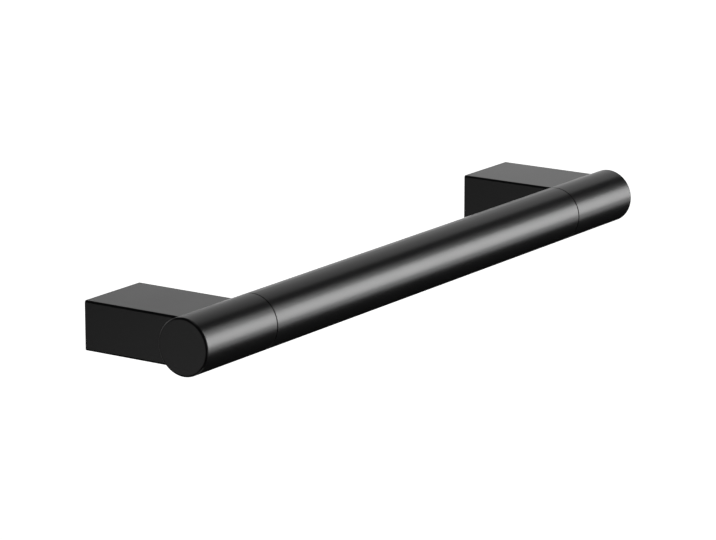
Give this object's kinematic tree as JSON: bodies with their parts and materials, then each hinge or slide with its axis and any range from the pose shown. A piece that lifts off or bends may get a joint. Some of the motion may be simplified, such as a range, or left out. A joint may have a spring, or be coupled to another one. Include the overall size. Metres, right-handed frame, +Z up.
{
  "type": "grab bar",
  "caption": "Straight horizontal wall grab bar: a round tube between cast end fittings, each with a rectangular block that stands it off the wall.",
  "frame": {"origin": "on the wall plane, midway between the two brackets and level with the bar's axis", "axes": "+X along the bar, +Y into the wall, +Z up"},
  "size_m": [0.45, 0.0885, 0.033],
  "materials": {
    "black_coat": "satin black powder coat",
    "zinc_plate": "zinc plated",
    "plain_steel": "machined",
    "turned_aluminium": "turned",
    "ring_rubber": "moulded"
  },
  "bodies": {
    "root": {"grip_tube": "black_coat", "left_end_fitting": "black_coat", "left_end_cap": "black_coat", "left_cap_ring": "ring_rubber", "left_joint_spigot": "turned_aluminium", "left_tie_screw": "plain_steel", "left_tie_washer": "zinc_plate", "left_wall_plate": "zinc_plate", "left_grub_screw": "plain_steel", "right_end_fitting": "black_coat", "right_end_cap": "black_coat", "right_cap_ring": "ring_rubber", "right_joint_spigot": "turned_aluminium", "right_tie_screw": "plain_steel", "right_tie_washer": "zinc_plate", "right_wall_plate": "zinc_plate", "right_grub_screw": "plain_steel"}
  },
  "joints": []
}
